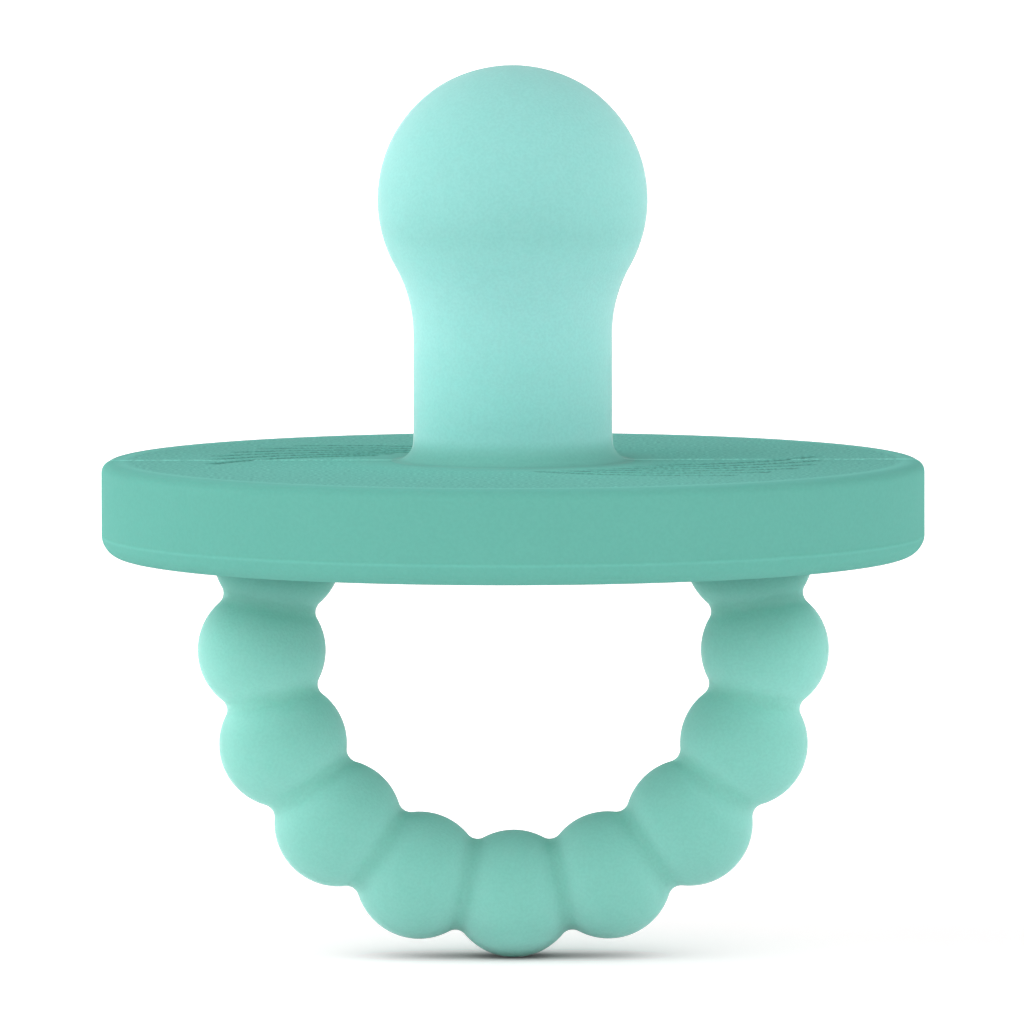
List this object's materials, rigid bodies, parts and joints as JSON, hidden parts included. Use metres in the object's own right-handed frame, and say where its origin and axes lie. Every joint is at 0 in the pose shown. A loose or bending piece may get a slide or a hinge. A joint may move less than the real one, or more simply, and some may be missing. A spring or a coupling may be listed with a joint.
{
  "type": "pacifier",
  "caption": "Soft silicone pacifier: a hollow round teat on a plain round guard disc, with a half-ring handle of beads that swings at its two roots.",
  "frame": {"origin": "centre of the guard disc, half way through its thickness and on the axis of its rim", "axes": "+Z along the disc's axis towards the tip of the teat, +X to the handle's right root, so the handle's ring lies in the XZ plane"},
  "size_m": [0.045, 0.045, 0.049],
  "materials": {
    "teat_silicone": "translucent satin",
    "guard_silicone": "translucent matte",
    "handle_silicone": "translucent matte"
  },
  "bodies": {
    "guard": {"shield": "guard_silicone", "teat_base": "teat_silicone", "handle_root_left": "handle_silicone", "handle_root_right": "handle_silicone"},
    "teat": {"teat_neck": "teat_silicone", "teat_bulb": "teat_silicone"},
    "handle": {"handle_neck_left": "handle_silicone", "handle_neck_right": "handle_silicone", "bead_1": "handle_silicone", "bead_2": "handle_silicone", "bead_3": "handle_silicone", "bead_4": "handle_silicone", "bead_5": "handle_silicone", "bead_6": "handle_silicone", "bead_7": "handle_silicone", "bead_8": "handle_silicone", "bead_9": "handle_silicone"}
  },
  "joints": [
    {"name": "teat_bend", "type": "hinge", "parent": "guard", "child": "teat", "pos_m": [0, 0, 0.00658], "axis": [1, 0, 0], "range_deg": [-35, 35], "stiffness_Nm_per_rad": 0.03, "deforming": ["teat_neck"]},
    {"name": "handle_swing", "type": "hinge", "parent": "guard", "child": "handle", "pos_m": [0, 0, -0.00521], "axis": [1, 0, 0], "range_deg": [-35, 35], "stiffness_Nm_per_rad": 0.02, "deforming": ["handle_neck_left", "handle_neck_right"]}
  ]
}
